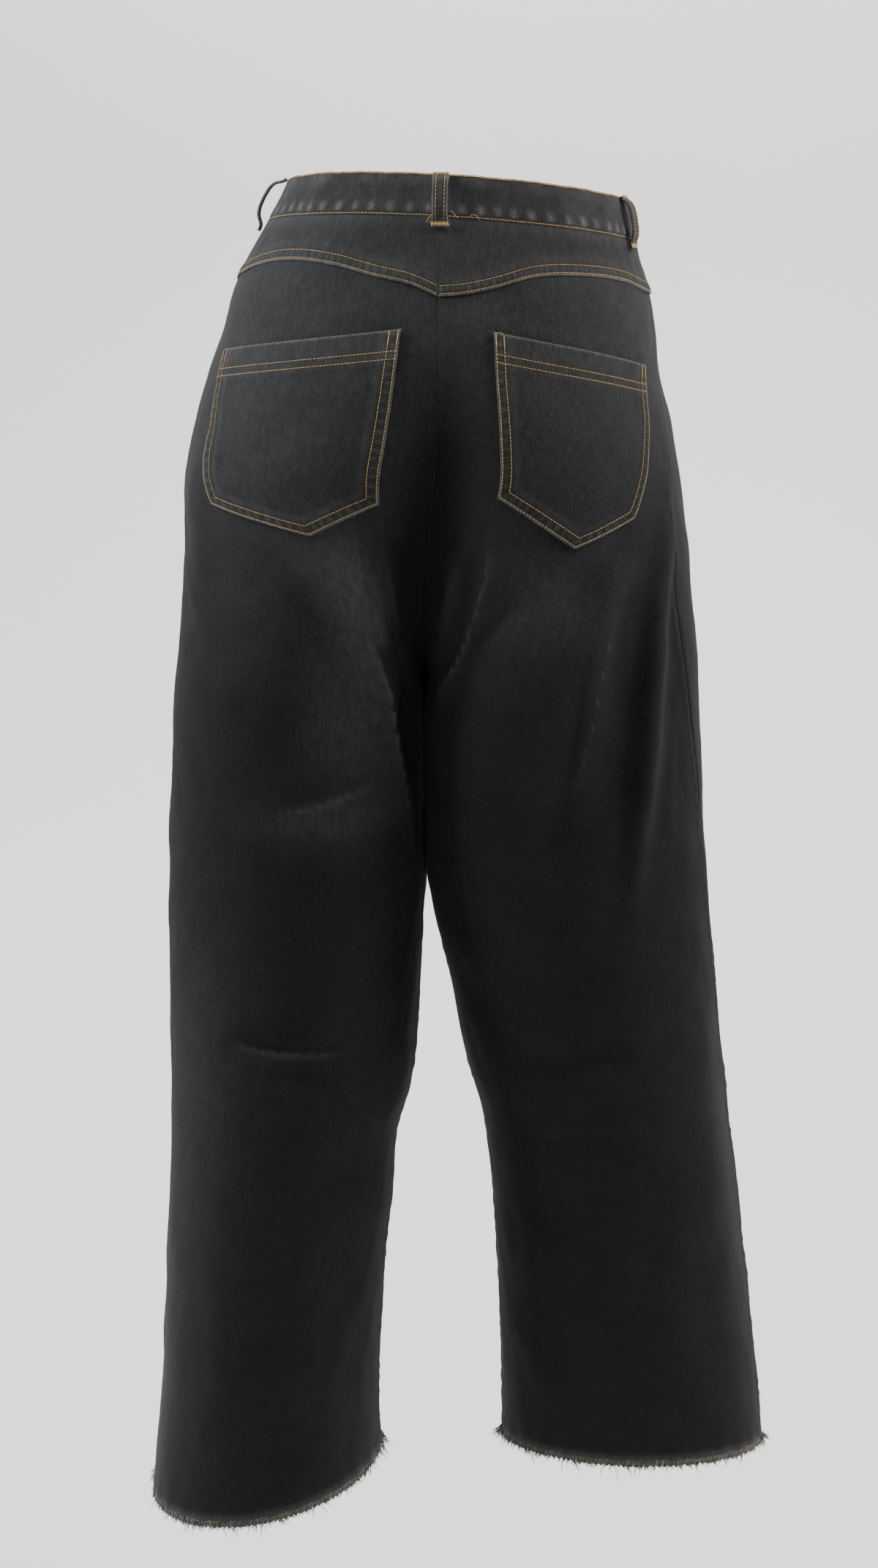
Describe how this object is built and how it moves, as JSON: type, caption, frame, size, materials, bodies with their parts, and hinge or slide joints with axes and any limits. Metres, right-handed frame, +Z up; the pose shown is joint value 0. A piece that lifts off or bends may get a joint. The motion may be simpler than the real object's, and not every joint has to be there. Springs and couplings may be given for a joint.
{
  "type": "jeans",
  "caption": "Straight-leg denim jeans in hollow worn form, with waistband, belt loops, back yoke, patch pockets and frayed hems.",
  "frame": {"origin": "middle of the waist opening, where the body holds the garment", "axes": "+Z up along the body, -Y to the wearer's front, +X to the wearer's left"},
  "size_m": [0.4928, 0.2635, 1.0636],
  "materials": {
    "denim": "washed black twill, matt",
    "denim_inside": "pale back of the twill, matt",
    "fray": "loose grey threads",
    "button_metal": "dull old brass"
  },
  "bodies": {
    "root": {"back_left": "denim", "back_right": "denim", "front_left": "denim", "front_right": "denim", "yoke_left": "denim", "yoke_right": "denim", "waistband": "denim", "loop_front_left": "denim", "loop_back_left": "denim", "loop_back": "denim", "loop_back_right": "denim", "loop_front_right": "denim", "pocket_left": "denim", "pocket_right": "denim", "fly_shield": "denim_inside", "waist_button": "button_metal", "fringe_left": "fray", "fringe_right": "fray"}
  },
  "joints": []
}
